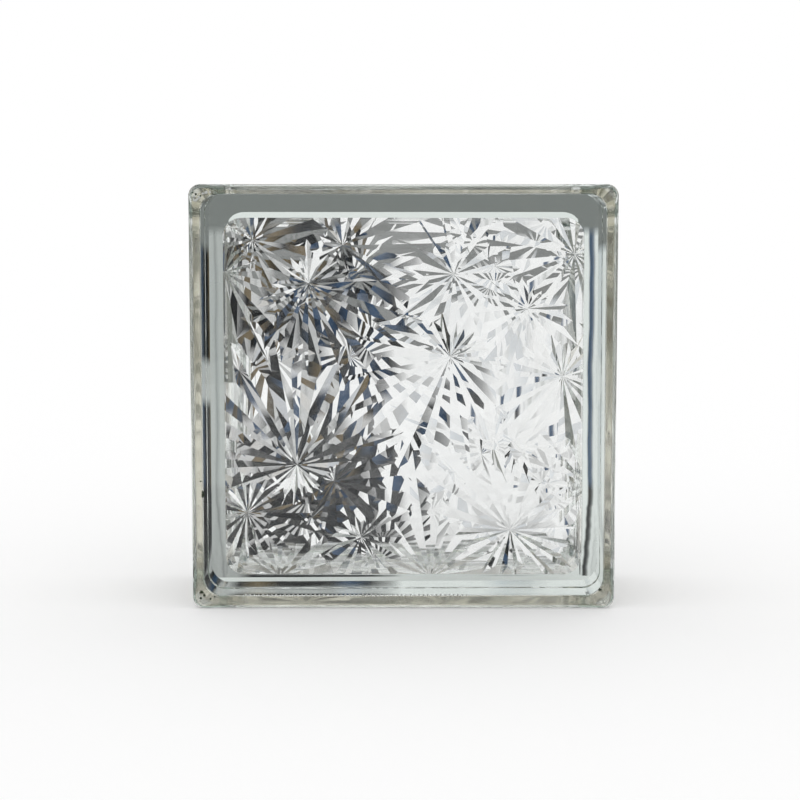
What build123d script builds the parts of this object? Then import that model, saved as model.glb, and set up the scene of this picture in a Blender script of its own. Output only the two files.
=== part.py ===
from build123d import *
from math import cos, radians, sin
import os

# A hollow block of clear pressed glass, standing on its bottom edge.
# X runs across the face, Y through the depth from front to back, Z up. Millimetres.

# Overall size
block_width = 190
block_height = 190
block_depth = 80

# Face flanges, which stand proud of the side walls all the way round
flange_depth = 10
corner_radius = 5
rim_round = 2.6
shoulder_round = 1.6

# Mortar channel between the two flanges
channel_depth = 4.5
flank_depth = 3.5
channel_corner_radius = 8
foot_round = 1.5

# Fused seam round the middle of the depth, proud of the wall outside and inside
seam_width = 5
seam_height = 1.2
seam_round = 1.5
inner_seam_width = 4
inner_seam_height = 1

# Sealed hollow
pane_thickness = 5
border_width = 15
hollow_draft = 2.5
hollow_corner_radius = 8

# Stars pressed into the inside of each pane
ridge_length = 82
valley_length = 45
ray_reach = 60
lean_share = 0.5
ridge_variation = 0.1
ray_sway = 0.12
foot_sink = 0.5

# Each star: place across and up from the middle of the panel, as shares of half its size, then rays,
# turn in degrees, height, and the direction in degrees in which its rays run longest
stars = [
    (-0.60, -0.38, 22, 3, 4.7, 95),
    (-0.53, 0.64, 20, 0, 4.0, -50),
    (0.26, 0.23, 20, 9, 4.2, -120),
    (0.89, 0.12, 18, 3, 3.8, -145),
    (0.60, -0.75, 20, 5, 4.1, 105),
    (-0.88, -0.65, 18, 2, 3.8, -20),
    (-0.39, -0.47, 14, 4, 3.8, -30),
    (-0.24, -0.79, 14, 1, 3.6, -60),
    (0.15, -1.02, 18, 0, 3.8, 90),
    (-1.00, 0.70, 16, 0, 3.7, -50),
    (-0.34, 0.85, 14, 4, 3.6, -40),
    (-0.84, 0.88, 14, 6, 3.5, -50),
    (0.28, 0.69, 15, 3, 3.7, -60),
    (0.69, 0.50, 16, 7, 3.7, -120),
    (0.95, 0.80, 15, 5, 3.7, -120),
    (-0.70, -1.02, 14, 4, 3.6, 60),
    (1.05, -0.50, 14, 2, 3.6, 180),
]

mid_height = block_height / 2
half_panel_width = block_width / 2 - border_width
half_panel_height = mid_height - border_width
half_depth = block_depth / 2
pane_y = half_depth - pane_thickness
flange_end = flange_depth - half_depth
channel_start = flange_end + flank_depth


def across_block(y, x=0, z=0):
    """A plane across the block at the depth y, facing back, centred x across and z up from its middle."""
    return Plane(origin=(x, y, mid_height + z), x_dir=(1, 0, 0), z_dir=(0, 1, 0))


def slab(start, depth, inset, radius):
    """A straight rounded slab across the block, from the depth start."""
    outline = RectangleRounded(block_width - 2 * inset, block_height - 2 * inset, radius)
    return extrude(across_block(start) * outline, amount=depth)


def tapered_slab(start, depth, inset, radius, shrink):
    """A rounded slab whose sides move in by shrink: two crossed wedges, and a cone at each corner."""
    across = block_width / 2 - inset - radius
    up = block_height / 2 - inset - radius
    ends = ((across_block(start), radius), (across_block(start + depth), radius - shrink))
    wide = loft([plane * Rectangle(2 * (across + edge), 2 * up) for plane, edge in ends], ruled=True)
    tall = loft([plane * Rectangle(2 * across, 2 * (up + edge)) for plane, edge in ends], ruled=True)
    cone = Cone(radius, radius - shrink, depth, align=(Align.CENTER, Align.CENTER, Align.MIN))
    corners = [across_block(start, x, z) * cone for x in (-across, across) for z in (-up, up)]
    return wide + tall + corners


def edges_round(solid, low, high):
    """The edges that run round the solid, centred between two depths."""
    round_edges = [edge for edge in solid.edges() if edge.bounding_box().size.Y < flank_depth]
    return [edge for edge in round_edges if low < edge.center().Y < high]


def both_halves(front):
    """The front half and its mirror image, joined at the middle of the depth."""
    return front + mirror(front, about=Plane.XZ)


def outer_form():
    """The outside: flanges with sloping flanks, the channel floor between them and the seam bead."""
    flare_depth = flange_depth + flank_depth
    spread = flare_depth * channel_depth / flank_depth
    flange = slab(-half_depth, flare_depth, 0, corner_radius)
    flare_radius = channel_corner_radius + spread
    flare = tapered_slab(-half_depth, flare_depth, channel_depth - spread, flare_radius, spread)
    core = slab(-half_depth, half_depth, channel_depth, channel_corner_radius)
    bead_start = -seam_width / 2
    bead = tapered_slab(bead_start, -bead_start, channel_depth, channel_corner_radius, -seam_height)
    half = (flange & flare) + core + bead
    just = 0.01
    half = fillet(edges_round(half, channel_start - just, bead_start - just), foot_round)
    half = fillet(edges_round(half, -half_depth + just, flange_end + just), shoulder_round)
    half = fillet(edges_round(half, -half_depth - just, -half_depth + just), rim_round)
    whole = both_halves(half)
    return fillet(edges_round(whole, -just, just), seam_round)


def hollow_form():
    """The front half of the sealed hollow before the stars: drafted walls, narrowed by the seam."""
    walls = tapered_slab(-pane_y, pane_y, border_width, hollow_corner_radius, -hollow_draft)
    seam_start = -inner_seam_width / 2
    seam_inset = border_width - hollow_draft
    waist = tapered_slab(seam_start, -seam_start, seam_inset, hollow_corner_radius, inner_seam_height)
    ring = slab(seam_start, -seam_start, channel_depth, channel_corner_radius) - waist
    return walls - ring


def on_pane(across, up, rise):
    """A point above the inner surface of the front pane."""
    return Vector(across, rise - pane_y, mid_height + up)


def star(share_across, share_up, rays, turn, height, long_side):
    """A pleated pyramid inside the front pane, with a ridge and a valley for each ray."""
    across = share_across * half_panel_width
    up = share_up * half_panel_height
    step = 360 / rays
    rim = []
    for ray in range(rays):
        sway = ray_sway * sin(2.4 * ray + across)
        variation = ridge_variation * sin(1.7 * ray + up)
        for share, length, change in ((sway, ridge_length, variation), (0.5, valley_length, 0)):
            angle = radians(turn + step * (ray + share))
            lean = 1 + lean_share * cos(angle - radians(long_side))
            reach = ray_reach * lean
            rise = height * (1 - reach / (length * (lean + change)))
            rim.append((across + reach * cos(angle), up + reach * sin(angle), rise))
    lowest = min(rise for _, _, rise in rim) - foot_sink
    apex = on_pane(across, up, height)
    top = [on_pane(*point) for point in rim]
    foot = [on_pane(x, z, lowest) for x, z, _ in rim]
    faces = [Face(Wire.make_polygon(foot))]
    for here in range(len(rim)):
        there = (here + 1) % len(rim)
        faces.append(Face(Wire.make_polygon([apex, top[here], top[there]])))
        faces.append(Face(Wire.make_polygon([top[here], foot[here], foot[there], top[there]])))
    return Solid(Shell(faces))


def star_relief():
    """All the stars of the front pane, grown together."""
    first, *others = [star(*row) for row in stars]
    return first.fuse(*others)


def glass_block():
    """The outside less the hollow, whose two ends are the same pressing, turned half round."""
    front = hollow_form() - star_relief()
    return outer_form() - (front + front.rotate(Axis.Z, 180))


block = glass_block()
block.label = "glass_block"
os.makedirs("parts", exist_ok=True)
export_step(block, "parts/glass_block.step")
print("glass_block", round(block.volume), "mm3,", len(block.faces()), "faces, valid", block.is_valid)
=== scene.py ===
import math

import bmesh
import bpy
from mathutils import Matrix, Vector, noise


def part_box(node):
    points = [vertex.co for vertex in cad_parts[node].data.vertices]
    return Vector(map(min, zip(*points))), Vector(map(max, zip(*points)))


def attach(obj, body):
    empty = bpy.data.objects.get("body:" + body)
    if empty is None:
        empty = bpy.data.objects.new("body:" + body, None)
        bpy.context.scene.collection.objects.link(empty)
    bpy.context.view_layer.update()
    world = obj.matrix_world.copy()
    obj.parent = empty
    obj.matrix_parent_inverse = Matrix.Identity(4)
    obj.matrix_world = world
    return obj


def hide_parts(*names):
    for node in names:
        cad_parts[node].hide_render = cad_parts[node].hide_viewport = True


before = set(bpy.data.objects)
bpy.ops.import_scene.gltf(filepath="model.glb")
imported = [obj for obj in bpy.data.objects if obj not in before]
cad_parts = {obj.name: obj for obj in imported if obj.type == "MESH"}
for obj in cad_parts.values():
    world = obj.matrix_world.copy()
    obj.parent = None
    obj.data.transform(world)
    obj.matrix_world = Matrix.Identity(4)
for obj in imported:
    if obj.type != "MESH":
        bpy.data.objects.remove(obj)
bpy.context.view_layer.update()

# %% [markdown]
# # A pressed glass block
# The real object is one piece of clear glass: two pressed half shells, fused round the middle of the
# depth, with sealed air between them. Long pleated stars are pressed into the inside of both panes.
# The CAD model already has the whole form, so this lesson is mostly about two things: how to finish a
# solid piece of glass, and how to light it so that its facets can be read.

millimetre = 0.001
block_low, block_high = (Vector(corner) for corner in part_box("glass_block"))
block_middle = (block_low + block_high) / 2
front_face = block_low.y

# %% [markdown]
# ## The block's own mesh
# A CAD node arrives as loose triangles: every corner is stored once for each triangle that uses it.
# Its mesh must stay as it is, so the lesson works on a copy, and first merges the corners that lie on
# each other. After that the glass is a closed skin outside and a closed skin round the hollow, and each
# edge has exactly two faces. Light needs that, to know when it is inside the glass.

# %% Copy and merge
weld_distance = 0.001 * millimetre
block_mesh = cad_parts["glass_block"].data.copy()
block_mesh.name = "pressed_glass"
pressed_glass = bpy.data.objects.new("pressed_glass", block_mesh)
bpy.context.scene.collection.objects.link(pressed_glass)


def edges_without_two_faces(mesh):
    """How many edges of a mesh don't have exactly two faces."""
    skin = bmesh.new()
    skin.from_mesh(mesh)
    count = sum(not edge.is_manifold for edge in skin.edges)
    skin.free()
    return count


skin = bmesh.new()
skin.from_mesh(block_mesh)
bmesh.ops.remove_doubles(skin, verts=skin.verts, dist=weld_distance)
skin.to_mesh(block_mesh)
skin.free()
print("faces", len(block_mesh.polygons), "open edges", edges_without_two_faces(block_mesh))

# %% [markdown]
# ## Crisp stars on a smooth block
# Shading can be smooth across an edge or broken at it. The rounded rims and the seam need it smooth,
# because they are curves cut into narrow flats. The stars are the other way round: each facet is truly
# flat, and neighbours may differ by only a few degrees, so one angle can't serve both. The stars lie in
# a thin layer inside each pane, which is easy to name by its depth, and get an angle of their own.

# %% Smooth or sharp edges
pane_thickness = 5 * millimetre
star_height = 5 * millimetre
border_width = 15 * millimetre
star_border = 0.9 * border_width
layer_slack = 0.1 * millimetre
curve_angle = math.radians(12)
facet_angle = math.radians(1)


def in_star_layer(point):
    """Whether a point lies in the layer of stars inside a pane."""
    from_pane = (block_high.y - block_low.y) / 2 - pane_thickness - abs(point.y)
    across = block_high.x - star_border - abs(point.x)
    up = (block_high.z - block_low.z) / 2 - star_border - abs(point.z - block_middle.z)
    return -layer_slack < from_pane < star_height and across > 0 and up > 0


def mark_edges(mesh):
    """Break the shading at the stars' facets and at real corners, and nowhere else."""
    skin = bmesh.new()
    skin.from_mesh(mesh)
    for face in skin.faces:
        face.smooth = True
    sharp = 0
    for edge in skin.edges:
        stars = all(in_star_layer(vert.co) for vert in edge.verts)
        limit = facet_angle if stars else curve_angle
        edge.smooth = edge.calc_face_angle(0) < limit
        sharp += not edge.smooth
    skin.to_mesh(mesh)
    skin.free()
    return sharp


print("sharp edges", mark_edges(block_mesh))

# %% [markdown]
# ## Materials from nodes
# A material is a small tree of nodes. The same few steps come up again and again: arithmetic, a value that
# rises over a distance, noise, a mix of two colours, and a bump. Each gets a short helper, so that a
# material reads like a recipe. Patterns read Object coordinates, which stay put when the block moves.

# %% Node helpers
def new_material(name):
    """A material with an empty tree, and that tree."""
    material = bpy.data.materials.new(name)
    material.use_nodes = True
    material.node_tree.nodes.clear()
    return material, material.node_tree


def add_node(tree, kind, **inputs):
    """A node of a kind, with some of its inputs set by name (spaces written as underscores)."""
    node = tree.nodes.new(kind)
    for name, value in inputs.items():
        node.inputs[name.replace("_", " ")].default_value = value
    return node


def link_all(tree, *pairs):
    """Join each pair of an output and an input."""
    for source, target in pairs:
        tree.links.new(source, target)


def place_on_object(tree):
    """Where a point lies on its object."""
    return add_node(tree, "ShaderNodeTexCoord").outputs["Object"]


def maths(tree, operation, first, second=None):
    """A Math node on one or two sockets or numbers."""
    node = tree.nodes.new("ShaderNodeMath")
    node.operation = operation
    for socket, value in zip(node.inputs, (first, second)):
        if isinstance(value, (int, float)):
            socket.default_value = value
        elif value is not None:
            tree.links.new(value, socket)
    return node.outputs[0]


def rising(tree, value, start, end, low=0.0, high=1.0):
    """A number that goes from low at start to high at end."""
    node = add_node(tree, "ShaderNodeMapRange", From_Min=start, From_Max=end, To_Min=low, To_Max=high)
    tree.links.new(value, node.inputs["Value"])
    return node.outputs["Result"]


def noise_at(tree, place, scale, detail):
    """Noise at a place, as one number."""
    node = add_node(tree, "ShaderNodeTexNoise", Scale=scale, Detail=detail)
    tree.links.new(place, node.inputs["Vector"])
    return node.outputs["Fac"]


def blend_colours(tree, share, first, second):
    """The first colour, going over to the second; each is a socket or a plain colour."""
    node = tree.nodes.new("ShaderNodeMix")
    node.data_type = "RGBA"
    for number, value in ((0, share), (6, first), (7, second)):
        if isinstance(value, tuple):
            node.inputs[number].default_value = value
        else:
            tree.links.new(value, node.inputs[number])
    return node.outputs[2]


def bumped(tree, height, strength, distance, earlier=None):
    """The surface's direction after a bump, which may be added to an earlier one."""
    node = add_node(tree, "ShaderNodeBump", Strength=strength, Distance=distance)
    tree.links.new(height, node.inputs["Height"])
    if earlier is not None:
        tree.links.new(earlier, node.inputs["Normal"])
    return node.outputs["Normal"]


# %% [markdown]
# ## Clear glass with a green cast
# Ordinary glass has a little iron in it, so a thick piece looks grey-green while a thin one looks clear.
# Painting the surface green would tint thin and thick parts alike. Volume Absorption takes light away
# for every millimetre that it travels inside, so the walls, where light has a long way to go, darken
# more than the 5 mm panes. A fine waviness stands for the pressing, and a slightly higher roughness in
# patches breaks up the shine.

# %% Index, tint, waves and haze
glass_index = 1.52
glass_tint = (0.50, 0.62, 0.56, 1.0)
tint_density = 7.0
wave_scale = 55.0
wave_strength = 0.5
wave_height = 0.02 * millimetre
haze_scale = 18.0
haze_start, haze_end = 0.45, 0.75
haze_range = (0.0, 0.035)
clear_glass, tree = new_material("clear_glass")
place = place_on_object(tree)
surface = add_node(tree, "ShaderNodeBsdfPrincipled", IOR=glass_index)
tint = add_node(tree, "ShaderNodeVolumeAbsorption", Color=glass_tint, Density=tint_density)
waves = bumped(tree, noise_at(tree, place, wave_scale, detail=2.0), wave_strength, wave_height)
haze_patches = noise_at(tree, place, haze_scale, detail=3.0)
haze = rising(tree, haze_patches, haze_start, haze_end, *haze_range)
print("glass index", glass_index, "roughness", haze_range)

# %% [markdown]
# ## What shows in the walls
# The photo has a thin line inside the edges, beige on the left and at the bottom, and nearly neutral on
# the right. It is read here as a film in the mortar channel, seen through the front flange. The bending
# of the glass alone may explain part of it, so the film is faint. The walls also get fine lines round
# the block, because the photo's side borders have fine upright lines. Both follow simple distances: how
# deep a point lies, and how far out it is.

# %% Masks by distance
channel_half_depth = 30 * millimetre
outside_reach = 85 * millimetre
wall_reach = 79 * millimetre
mask_edge = 0.5 * millimetre
parts = add_node(tree, "ShaderNodeSeparateXYZ")
tree.links.new(place, parts.inputs[0])
deep = maths(tree, "ABSOLUTE", parts.outputs["Y"])
rise = maths(tree, "ABSOLUTE", maths(tree, "SUBTRACT", parts.outputs["Z"], block_middle.z))
outward = maths(tree, "MAXIMUM", maths(tree, "ABSOLUTE", parts.outputs["X"]), rise)
in_wall = rising(tree, outward, wall_reach, wall_reach + mask_edge)
outside = rising(tree, outward, outside_reach, outside_reach + mask_edge)
in_channel = rising(tree, deep, channel_half_depth, channel_half_depth - mask_edge)
filmed = maths(tree, "MULTIPLY", outside, in_channel)
print("film within", round(channel_half_depth / millimetre), "mm of the middle of the depth")

# %% The film
film_colour = (0.78, 0.745, 0.625, 1.0)
film_patch_scale = 60.0
film_patch_start, film_patch_end = 0.35, 0.65
film_cover = (0.05, 0.18)
film_roughness = 0.45
film_patches = noise_at(tree, place, film_patch_scale, detail=4.0)
film_level = rising(tree, film_patches, film_patch_start, film_patch_end, *film_cover)
film = maths(tree, "MULTIPLY", filmed, film_level)
film_tone = blend_colours(tree, filmed, (1.0, 1.0, 1.0, 1.0), film_colour)
clearness = maths(tree, "SUBTRACT", 1.0, film)
roughness = maths(tree, "ADD", haze, maths(tree, "MULTIPLY", film, film_roughness))
print("film cover", film_cover)

# %% The lines, and the finished glass
line_stretch = (4.0, 260.0, 4.0)
line_strength = 1.0
line_height = 0.03 * millimetre
stretched = add_node(tree, "ShaderNodeMapping", Scale=line_stretch)
tree.links.new(place, stretched.inputs["Vector"])
line_noise = noise_at(tree, stretched.outputs[0], scale=1.0, detail=2.0)
lines = maths(tree, "MULTIPLY", line_noise, in_wall)
lined = bumped(tree, lines, line_strength, line_height, waves)
output = add_node(tree, "ShaderNodeOutputMaterial")
link_all(tree, (lined, surface.inputs["Normal"]), (film_tone, surface.inputs["Base Color"]),
         (clearness, surface.inputs["Transmission Weight"]), (roughness, surface.inputs["Roughness"]),
         (surface.outputs["BSDF"], output.inputs["Surface"]),
         (tint.outputs["Volume"], output.inputs["Volume"]))
block_mesh.materials.clear()
block_mesh.materials.append(clear_glass)
print("glass nodes", len(tree.nodes))

# %% [markdown]
# ## A row of dots under the front face
# The photo may have a faint row of small marks along the lower border. They are too small to read, so
# they are made as a plain row of raised dots. Anything that repeats is made with Geometry Nodes: a line
# of points, a small dome on each, a little random size from a fixed seed, and real geometry at the end.
# The tree has named inputs, so that the row can be changed in one place. The result is turned into a
# plain mesh, and the modifier is gone. Dots of clear glass would vanish on clear glass, so these are
# lightly frosted.

# %% A mottled finish, for frosted glass and for dirt
grain_scale = 1800.0
grain_shade = 0.55
grain_strength = 0.6
grain_height = 0.05 * millimetre


def dull_finish(name, colour, roughness, transmission):
    """A surface with small mottling in its colour and a fine grain."""
    finish = bpy.data.materials.new(name)
    finish.use_nodes = True
    tree = finish.node_tree
    surface = tree.nodes["Principled BSDF"]
    surface.inputs["Roughness"].default_value = roughness
    surface.inputs["Transmission Weight"].default_value = transmission
    grain = noise_at(tree, place_on_object(tree), grain_scale, detail=3.0)
    darker = tuple(grain_shade * part for part in colour[:3]) + (1,)
    link_all(tree, (blend_colours(tree, grain, colour, darker), surface.inputs["Base Color"]),
             (bumped(tree, grain, grain_strength, grain_height), surface.inputs["Normal"]))
    return finish


frosted = dull_finish("frosted_dots", (0.93, 0.94, 0.91, 1), roughness=0.35, transmission=0.35)
print("frosted nodes", len(frosted.node_tree.nodes))

# %% The inputs of the dot tree
dot_height = 6.4 * millimetre
dome_subdivisions = 2
dome_sizes = (0.55, 1.1)
dot_tree = bpy.data.node_groups.new("dot_row", "GeometryNodeTree")
dot_inputs = {}
for label, kind, value in (("Dots", "NodeSocketInt", 52),
                           ("Start X", "NodeSocketFloat", -71.0 * millimetre),
                           ("Spacing", "NodeSocketFloat", 1.95 * millimetre),
                           ("Radius", "NodeSocketFloat", 0.50 * millimetre),
                           ("Relief", "NodeSocketFloat", 0.18 * millimetre),
                           ("Seed", "NodeSocketInt", 7)):
    socket = dot_tree.interface.new_socket(label, in_out="INPUT", socket_type=kind)
    dot_inputs[label] = (socket.identifier, value)
dot_tree.interface.new_socket("Geometry", in_out="OUTPUT", socket_type="NodeSocketGeometry")
print("dot inputs", list(dot_inputs))

# %% The dot tree
given = dot_tree.nodes.new("NodeGroupInput")
row = dot_tree.nodes.new("GeometryNodeMeshLine")
start = dot_tree.nodes.new("ShaderNodeCombineXYZ")
start.inputs["Y"].default_value = front_face
start.inputs["Z"].default_value = dot_height
step = dot_tree.nodes.new("ShaderNodeCombineXYZ")
dome = dot_tree.nodes.new("GeometryNodeMeshIcoSphere")
dome.inputs["Subdivisions"].default_value = dome_subdivisions
dome.inputs["Radius"].default_value = 1.0
shape = dot_tree.nodes.new("ShaderNodeCombineXYZ")
vary = dot_tree.nodes.new("FunctionNodeRandomValue")
vary.inputs[2].default_value, vary.inputs[3].default_value = dome_sizes
sized = dot_tree.nodes.new("ShaderNodeVectorMath")
sized.operation = "SCALE"
place_domes = dot_tree.nodes.new("GeometryNodeInstanceOnPoints")
realize = dot_tree.nodes.new("GeometryNodeRealizeInstances")
finish = dot_tree.nodes.new("GeometryNodeSetMaterial")
finish.inputs["Material"].default_value = frosted
result = dot_tree.nodes.new("NodeGroupOutput")
link_all(dot_tree, (given.outputs["Dots"], row.inputs["Count"]),
         (given.outputs["Start X"], start.inputs["X"]),
         (start.outputs[0], row.inputs["Start Location"]), (given.outputs["Spacing"], step.inputs["X"]),
         (step.outputs[0], row.inputs["Offset"]), (given.outputs["Radius"], shape.inputs["X"]),
         (given.outputs["Relief"], shape.inputs["Y"]), (given.outputs["Radius"], shape.inputs["Z"]),
         (given.outputs["Seed"], vary.inputs["Seed"]), (shape.outputs[0], sized.inputs[0]),
         (vary.outputs[1], sized.inputs["Scale"]), (row.outputs[0], place_domes.inputs["Points"]),
         (dome.outputs[0], place_domes.inputs["Instance"]), (sized.outputs[0], place_domes.inputs["Scale"]),
         (place_domes.outputs[0], realize.inputs[0]), (realize.outputs[0], finish.inputs["Geometry"]),
         (finish.outputs[0], result.inputs[0]))
print("dot nodes", len(dot_tree.nodes))

# %% The dots as a plain mesh
carrier = bpy.data.objects.new("dot_carrier", bpy.data.meshes.new("dot_carrier"))
bpy.context.scene.collection.objects.link(carrier)
modifier = carrier.modifiers.new("dots", "NODES")
modifier.node_group = dot_tree
for identifier, value in dot_inputs.values():
    modifier[identifier] = value
bpy.context.view_layer.update()
evaluated = carrier.evaluated_get(bpy.context.evaluated_depsgraph_get())
dot_mesh = bpy.data.meshes.new_from_object(evaluated)
dot_mesh.name = "dot_row"
bpy.data.objects.remove(carrier)
dot_row = bpy.data.objects.new("dot_row", dot_mesh)
bpy.context.scene.collection.objects.link(dot_row)
for polygon in dot_mesh.polygons:
    polygon.use_smooth = True
print("dots", len(dot_mesh.polygons), "faces, open edges", edges_without_two_faces(dot_mesh))

# %% [markdown]
# ## Chips and specks
# The block has had a life: the upper left corner is chipped, and a few dark specks of dirt sit on the
# left edge and in three corners. Each is a small lump pushed out of shape by seeded noise, so no two are
# alike, and pressed flat against the face that carries it. Chips keep hard facets and get a rough,
# whitish break, because broken glass scatters light. Specks are dull and opaque.

# %% A helper for small lumps on the front face
lump_subdivisions = 3
lump_noise_scale = 1.6
noise_step = 7.3


def lumps_on_face(name, rows, roughness, seed, smooth):
    """One mesh of flattened lumps on the front face; each row gives x, z, radius and thickness in mm."""
    lumps = bmesh.new()
    for number, (x, z, radius, thickness) in enumerate(rows):
        made = bmesh.ops.create_icosphere(lumps, subdivisions=lump_subdivisions, radius=1.0)["verts"]
        apart = Vector((seed + noise_step * number, 0, 0))
        for vert in made:
            push = 1 + roughness * noise.noise(vert.co * lump_noise_scale + apart)
            vert.co = Vector((x + push * vert.co.x * radius, push * vert.co.y * thickness,
                              z + push * vert.co.z * radius)) * millimetre + Vector((0, front_face, 0))
    mesh = bpy.data.meshes.new(name)
    lumps.to_mesh(mesh)
    lumps.free()
    for polygon in mesh.polygons:
        polygon.use_smooth = smooth
    piece = bpy.data.objects.new(name, mesh)
    bpy.context.scene.collection.objects.link(piece)
    return piece


# %% Chips in the corner
chip_rows = ((-92.4, 183.2, 0.45, 0.2), (-91.6, 182.8, 0.55, 0.25), (-90.8, 183.4, 0.4, 0.2),
             (-90.0, 184.2, 0.5, 0.2), (-92.0, 184.6, 0.35, 0.2), (-88.2, 185.9, 0.4, 0.15),
             (-86.8, 186.3, 0.5, 0.15), (-85.2, 186.5, 0.35, 0.15))
chips = lumps_on_face("corner_chips", chip_rows, roughness=1.4, seed=3.0, smooth=False)
broken = dull_finish("broken_glass", (0.95, 0.97, 0.95, 1), roughness=0.2, transmission=0.3)
chips.data.materials.append(broken)
print("chips", len(chips.data.polygons), "faces, open edges", edges_without_two_faces(chips.data))

# %% Specks of dirt
speck_rows = ((-89.8, 53.1, 0.5, 0.15), (-89.7, 52.1, 0.6, 0.15), (-89.9, 51.1, 0.5, 0.15),
              (-90.6, 58.0, 0.3, 0.1), (-90.8, 7.6, 0.8, 0.2), (-89.6, 6.2, 0.55, 0.15),
              (-91.2, 4.9, 0.5, 0.15), (-86.9, 4.6, 0.4, 0.12), (-85.0, 5.6, 0.3, 0.1),
              (88.4, 8.9, 0.6, 0.15), (-91.4, 185.6, 0.45, 0.12), (-89.3, 184.9, 0.35, 0.1),
              (-92.6, 186.2, 0.3, 0.1))
specks = lumps_on_face("dirt_specks", speck_rows, roughness=0.9, seed=11.0, smooth=True)
dirt = dull_finish("dried_dirt", (0.030, 0.045, 0.022, 1), roughness=0.85, transmission=0.0)
specks.data.materials.append(dirt)
print("specks", len(specks.data.polygons), "faces, open edges", edges_without_two_faces(specks.data))

# %% [markdown]
# ## A white studio
# Glass has no colour of its own to light, so what it shows is what stands round it. The surround is
# plain white at a strength of 1, for every kind of ray. The floor is a pale sheet that gets about a
# seventh of its brightness from emission, seen only by the camera and through or in the glass. That
# lifts the open floor to the same white as the surround, and leaves the shadow under the block in place.

# %% Surround
surround = bpy.data.worlds.new("white_surround")
bpy.context.scene.world = surround
surround.use_nodes = True
surround.node_tree.nodes["Background"].inputs["Color"].default_value = (1, 1, 1, 1)
surround.node_tree.nodes["Background"].inputs["Strength"].default_value = 1.0
print("surround", surround.name)

# %% The floor's sheet
floor_half = 3.0


def sheet_of(name, corners, faces=((0, 1, 2, 3),)):
    """A thin sheet of one or more flat faces."""
    mesh = bpy.data.meshes.new(name)
    mesh.from_pydata(corners, [], faces)
    sheet = bpy.data.objects.new(name, mesh)
    bpy.context.scene.collection.objects.link(sheet)
    return sheet


floor = sheet_of("pale_floor", [(-floor_half, -floor_half, 0), (floor_half, -floor_half, 0),
                                (floor_half, floor_half, 0), (-floor_half, floor_half, 0)])
print("floor", 2 * floor_half, "m square")

# %% The floor's finish
floor_colour = 0.85
floor_lift = 0.15
floor_finish, tree = new_material("pale_floor")
paint = add_node(tree, "ShaderNodeBsdfDiffuse", Color=(floor_colour, floor_colour, floor_colour, 1))
lift = add_node(tree, "ShaderNodeEmission", Strength=floor_lift)
nothing = add_node(tree, "ShaderNodeEmission", Strength=0.0)
ray = add_node(tree, "ShaderNodeLightPath")
seen = maths(tree, "MAXIMUM", ray.outputs["Is Camera Ray"], ray.outputs["Is Glossy Ray"])
seen_or_through = maths(tree, "MAXIMUM", seen, ray.outputs["Is Transmission Ray"])
choice = add_node(tree, "ShaderNodeMixShader")
total = add_node(tree, "ShaderNodeAddShader")
output = add_node(tree, "ShaderNodeOutputMaterial")
link_all(tree, (seen_or_through, choice.inputs["Fac"]), (nothing.outputs[0], choice.inputs[1]),
         (lift.outputs[0], choice.inputs[2]), (paint.outputs[0], total.inputs[0]),
         (choice.outputs[0], total.inputs[1]), (total.outputs[0], output.inputs["Surface"]))
floor.data.materials.append(floor_finish)
print("open floor", floor_colour + floor_lift)

# %% [markdown]
# ## A card behind the glass
# In a room that is white all round, clear glass nearly disappears. Photographers of glass stand a dark
# card behind it, cut smaller than the object, so that the camera sees the card only through the glass.
# Every facet bends the view by its own angle, so some facets show the card and some show the white
# beside it, and the stars appear. How far away it stands matters: a near card makes one dark patch, and
# a far one makes each facet either dark or light. The card also runs forward along the floor, where the
# block hides it, to darken the lower stars. The same card stands on the other three sides, so that the
# block also reads from behind and edge on.

# %% Size of the card
card_distance = 300 * millimetre
camera_distance = 0.80
camera_pitch = math.radians(5.8)
half_width = (block_high.x - block_low.x) / 2
half_depth = (block_high.y - block_low.y) / 2
card_gap = 15 * millimetre
hidden_share = 0.97
card_share = 0.99
card_rise = 4 * millimetre


def outline_half(depth):
    """Half the width that the block hides from the camera at a depth behind the block's middle."""
    return hidden_share * half_width * (camera_distance + depth - front_face) / camera_distance


card_half = outline_half(card_distance)
card_top = card_share * (block_high.z - block_low.z) + card_rise
card_foot = 2 * millimetre
print("card half width in mm", round(card_half / millimetre), "top", round(card_top / millimetre))

# %% [markdown]
# ## Grading the card
# The card is dark on the left and clear on the right, with a mid grey along the edges that lie behind
# the plain border, and a little brown and blue. A cover of 1 is solid card and 0 is none, and the small
# steps in the cover at both ends make faint upright lines in the side borders. Places along the card are
# shares of its width at that depth, so that it narrows towards the block. A colour ramp holds at most 32
# stops.

# %% Colours along the card
edge_grey = (0.15, 0.16, 0.155, 1)
charcoal = (0.008, 0.009, 0.011, 1)
warm_brown = (0.20, 0.15, 0.08, 1)
deep_blue = (0.06, 0.11, 0.20, 1)
sky_blue = (0.22, 0.35, 0.50, 1)
green_grey = (0.24, 0.27, 0.25, 1)
card_colours = ((0.0, edge_grey), (0.11, edge_grey), (0.14, charcoal), (0.18, warm_brown), (0.23, charcoal),
                (0.34, charcoal), (0.38, deep_blue), (0.43, charcoal), (0.65, edge_grey), (0.70, sky_blue),
                (0.82, edge_grey), (0.90, deep_blue), (0.930, deep_blue), (0.948, green_grey))
print("colour stops", len(card_colours))

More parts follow.
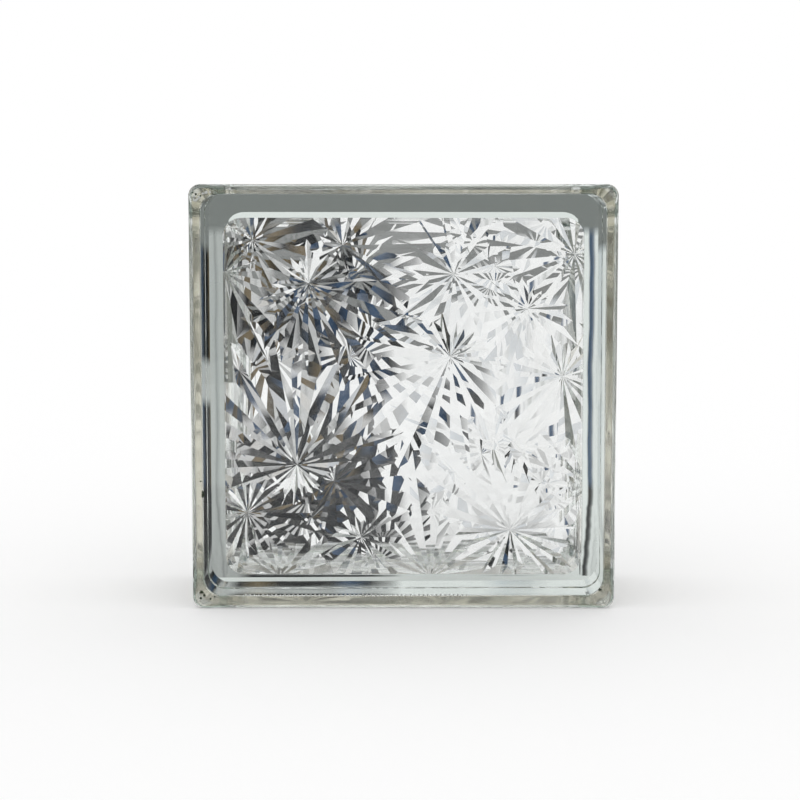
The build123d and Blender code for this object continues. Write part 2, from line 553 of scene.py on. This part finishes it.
# %% Cover along the card
left_cover = ((0.0, 0.50), (0.018, 0.50), (0.022, 0.72), (0.027, 0.46), (0.046, 0.52), (0.050, 0.70),
              (0.056, 0.46), (0.074, 0.50), (0.078, 0.68), (0.085, 0.48), (0.11, 0.52))
middle_cover = ((0.14, 1.0), (0.42, 1.0), (0.47, 0.6), (0.50, 0.0), (0.67, 0.0), (0.72, 0.3), (0.77, 0.3),
                (0.82, 0.0))
right_cover = ((0.914, 0.0), (0.916, 0.95), (0.925, 0.95), (0.928, 0.1), (0.935, 0.04), (0.938, 0.3),
               (0.943, 0.06), (0.952, 0.5), (0.958, 0.12), (0.972, 0.3), (0.98, 0.08))
card_cover = left_cover + middle_cover + right_cover
side_edges = ((0.0, 1.0), (0.11, 1.0), (0.14, 0.0), (0.86, 0.0), (0.89, 1.0))
print("cover stops", len(card_cover))

# %% [markdown]
# ## Grading by height
# To find which part of the card a region of the block looks at, colour it by height for one trial render
# and read the colours back. The upper border sees only the heights from 150 to 170 mm, so the grey
# starts just below that. The lower border sees 40 to 85 mm, because its rays are thrown upwards inside
# the wall, so the card is thinner in that strip and the lower border stays pale. Behind the plain
# borders left and right the strip stops and the upper grey starts higher, so that they keep one tone
# nearly to the corners. The lowest centimetre is charcoal all along, because the photo's blue line turns
# black near the floor. It hardly changes the lower stars. A little noise sways the edges between the
# tones, because a ruled line would look drawn.

# %% How the card changes with height
border_start = 147 * millimetre
border_end = 153 * millimetre
side_lift = 12 * millimetre
border_cover = 0.84
ramp_height = 200 * millimetre
thin_strip = ((0.0, 1.0), (0.29, 1.0), (0.32, 0.45), (0.41, 0.45), (0.44, 1.0))
low_start = 14 * millimetre
low_end = 9 * millimetre
sway_scale = 20.0
sway_share = 0.012
print("thin strip in mm", [round(share * ramp_height / millimetre) for share, _ in thin_strip[1:]])

# %% Colour ramps
def grey_levels(stops):
    """A ramp's stops as positions and colours, from positions and grey levels."""
    return [(position, (level, level, level, 1)) for position, level in stops]


def ramp_of(tree, value, stops):
    """A colour ramp's output; its stops are positions and colours."""
    node = tree.nodes.new("ShaderNodeValToRGB")
    tree.links.new(value, node.inputs["Fac"])
    elements = node.color_ramp.elements
    elements[0].position, elements[0].color = stops[0]
    elements[1].position, elements[1].color = stops[-1]
    for position, colour in stops[1:-1]:
        elements.new(position).color = colour
    return node.outputs["Color"]


# %% The card's finish
def card_finish(name, across, side):
    """The graded card; across names the axis along it, and side is 1 or -1 for the way it runs."""
    finish, tree = new_material(name)
    place = place_on_object(tree)
    parts = add_node(tree, "ShaderNodeSeparateXYZ")
    tree.links.new(place, parts.inputs[0])
    away = maths(tree, "ABSOLUTE", parts.outputs["Y" if across == "X" else "X"])
    growth = outline_half(1.0) - outline_half(0.0)
    half_there = maths(tree, "ADD", maths(tree, "MULTIPLY", away, growth), outline_half(0.0))
    share = maths(tree, "DIVIDE", parts.outputs[across], half_there)
    straight = maths(tree, "ADD", maths(tree, "MULTIPLY", share, 0.5 * side), 0.5)
    sway = maths(tree, "SUBTRACT", noise_at(tree, place, sway_scale, detail=2.0), 0.5)
    along = maths(tree, "ADD", straight, maths(tree, "MULTIPLY", sway, sway_share))
    height = maths(tree, "DIVIDE", parts.outputs["Z"], ramp_height)
    colours = ramp_of(tree, along, card_colours)
    cover = ramp_of(tree, along, grey_levels(card_cover))
    edges = ramp_of(tree, along, grey_levels(side_edges))
    thinner = ramp_of(tree, height, grey_levels(thin_strip))
    lowered = maths(tree, "SUBTRACT", parts.outputs["Z"], maths(tree, "MULTIPLY", edges, side_lift))
    top_border = rising(tree, lowered, border_start, border_end)
    low_part = rising(tree, parts.outputs["Z"], low_start, low_end)
    low_colours = blend_colours(tree, low_part, colours, charcoal)
    all_colours = blend_colours(tree, top_border, low_colours, edge_grey)
    thinned = maths(tree, "MULTIPLY", cover, maths(tree, "MAXIMUM", thinner, edges))
    full_cover = tree.nodes.new("ShaderNodeMix")
    full_cover.inputs[3].default_value = border_cover
    card = add_node(tree, "ShaderNodeBsdfDiffuse")
    clear = add_node(tree, "ShaderNodeBsdfTransparent")
    mix = add_node(tree, "ShaderNodeMixShader")
    output = add_node(tree, "ShaderNodeOutputMaterial")
    link_all(tree, (top_border, full_cover.inputs[0]), (thinned, full_cover.inputs[2]),
             (all_colours, card.inputs["Color"]), (full_cover.outputs[0], mix.inputs["Fac"]),
             (clear.outputs[0], mix.inputs[1]), (card.outputs[0], mix.inputs[2]),
             (mix.outputs[0], output.inputs["Surface"]))
    return finish


# %% [markdown]
# ## Standing the cards up
# The camera must not see the cards themselves, and they must not darken the floor. Blender can switch
# an object off for one kind of ray at a time, so these are left for the glass alone.

# %% Four cards
def seen_in_glass_only(sheet):
    """Keep a card out of the camera's own view and away from the floor's light and shadow."""
    sheet.visible_camera = False
    sheet.visible_diffuse = False
    sheet.visible_shadow = False


for name, toward, across, side in (("card_behind", (0, 1, 0), "X", 1),
                                   ("card_in_front", (0, -1, 0), "X", -1),
                                   ("card_right", (1, 0, 0), "Y", -1),
                                   ("card_left", (-1, 0, 0), "Y", 1)):
    run = Vector((1, 0, 0)) if across == "X" else Vector((0, 1, 0))
    block_half = half_depth if across == "X" else half_width
    near_distance = block_half + card_gap
    near, stand = Vector(toward) * near_distance, Vector(toward) * card_distance
    rows = ((near, outline_half(near_distance), card_foot), (stand, card_half, card_foot),
            (stand, card_half, card_top))
    corners = [place + run * way * half + Vector((0, 0, height))
               for place, half, height in rows for way in (-1, 1)]
    card = sheet_of(name, corners, [(0, 1, 3, 2), (2, 3, 5, 4)])
    card.data.materials.append(card_finish(name, across, side))
    seen_in_glass_only(card)
    print(name, "clears the block by", round((near_distance - block_half) / millimetre), "mm")

# %% [markdown]
# ## Grey flags beside the picture
# The rounded rims bend light far out to the sides, past the card. Four tall grey flags stand off the
# corners of the block, outside the picture, and darken the rims a little: in a trial, flags three times
# as bright changed the rims by only 10 to 15 levels of 255.
#
# A dark cloth hangs behind the camera too. Glass reflects about a twenty-fifth of the light at each
# surface, and this block has four of them, so a white room on the camera's side lays a grey veil over
# every dark facet. With the cloth there, the dark facets get nearly black.

# %% Flags off the four corners
flag_distance = 0.9
flag_spread = math.radians(20)
flag_low, flag_high = -0.1, 0.6
flag_colour = (0.30, 0.31, 0.29, 1)


def matt_finish(name, colour):
    """A plain matt material."""
    finish, tree = new_material(name)
    matt = add_node(tree, "ShaderNodeBsdfDiffuse", Color=colour)
    output = add_node(tree, "ShaderNodeOutputMaterial")
    tree.links.new(matt.outputs[0], output.inputs["Surface"])
    return finish


flag_finish = matt_finish("grey_flag", flag_colour)
low_end_of_flag, high_end_of_flag = Vector((0, 0, flag_low)), Vector((0, 0, flag_high))
for quarter in range(4):
    middle = math.radians(45 + 90 * quarter)
    ends = [flag_distance * Vector((math.sin(middle + turn), math.cos(middle + turn), 0))
            for turn in (-flag_spread, flag_spread)]
    corners = [ends[0] + low_end_of_flag, ends[1] + low_end_of_flag,
               ends[1] + high_end_of_flag, ends[0] + high_end_of_flag]
    flag = sheet_of(f"flag_{quarter}", corners)
    flag.data.materials.append(flag_finish)
    seen_in_glass_only(flag)
flag_edge = math.radians(45) - flag_spread
edge_across = flag_distance * math.sin(flag_edge)
edge_away = flag_distance * math.cos(flag_edge) + camera_distance - front_face
off_axis = math.degrees(math.atan2(edge_across, edge_away))
print("nearest flag edge, degrees from the camera's axis", round(off_axis, 1))

# %% The cloth behind the camera
cloth_half, cloth_top, cloth_distance = 1.2, 1.5, 1.2
cloth_colour = (0.10, 0.10, 0.10, 1)
cloth = sheet_of("dark_cloth", [(-cloth_half, -cloth_distance, 0), (cloth_half, -cloth_distance, 0),
                                (cloth_half, -cloth_distance, cloth_top),
                                (-cloth_half, -cloth_distance, cloth_top)])
cloth.data.materials.append(matt_finish("dark_cloth", cloth_colour))
seen_in_glass_only(cloth)
print("cloth", 2 * cloth_half, "m wide")

# %% [markdown]
# ## The camera
# The photograph looks almost straight at the front face, from a little above. Its frame is 356 mm wide
# at that face, which gives the lens once the distance is chosen, and a small shift sets the block where
# it stands in the picture.

# %% Camera
picture_size = 800
pixels_per_mm = 2.247
frame_width = picture_size / pixels_per_mm * millimetre
shift_pixels = (-3.5, -1.0)
camera_data = bpy.data.cameras.new("camera")
camera_data.lens = camera_data.sensor_width * camera_distance / frame_width
camera_data.shift_x = shift_pixels[0] / picture_size
camera_data.shift_y = shift_pixels[1] / picture_size
camera = bpy.data.objects.new("camera", camera_data)
bpy.context.scene.collection.objects.link(camera)
aim = Vector((block_middle.x, front_face, block_middle.z))
camera.location = aim + camera_distance * Vector((0, -math.cos(camera_pitch), math.sin(camera_pitch)))
camera.rotation_euler = (math.pi / 2 - camera_pitch, 0, 0)
bpy.context.scene.camera = camera
print("lens in mm", round(camera_data.lens, 1))

# %% [markdown]
# ## How far light is followed
# A ray through this block crosses at least four surfaces, and one that runs down a wall many more. If
# Blender gives up too early, the glass turns black there, so the limits are raised.

# %% Light paths
scene = bpy.context.scene
scene.view_settings.view_transform = "Standard"
scene.cycles.max_bounces = 24
scene.cycles.transmission_bounces = 24
scene.cycles.glossy_bounces = 12
scene.cycles.transparent_max_bounces = 16
print("bounces", scene.cycles.max_bounces)

# %% [markdown]
# ## Handing over
# The finished block rides on the part's one body and stands in for the CAD node, which is hidden.

for piece in (pressed_glass, dot_row, chips, specks):
    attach(piece, "root")
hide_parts("glass_block")
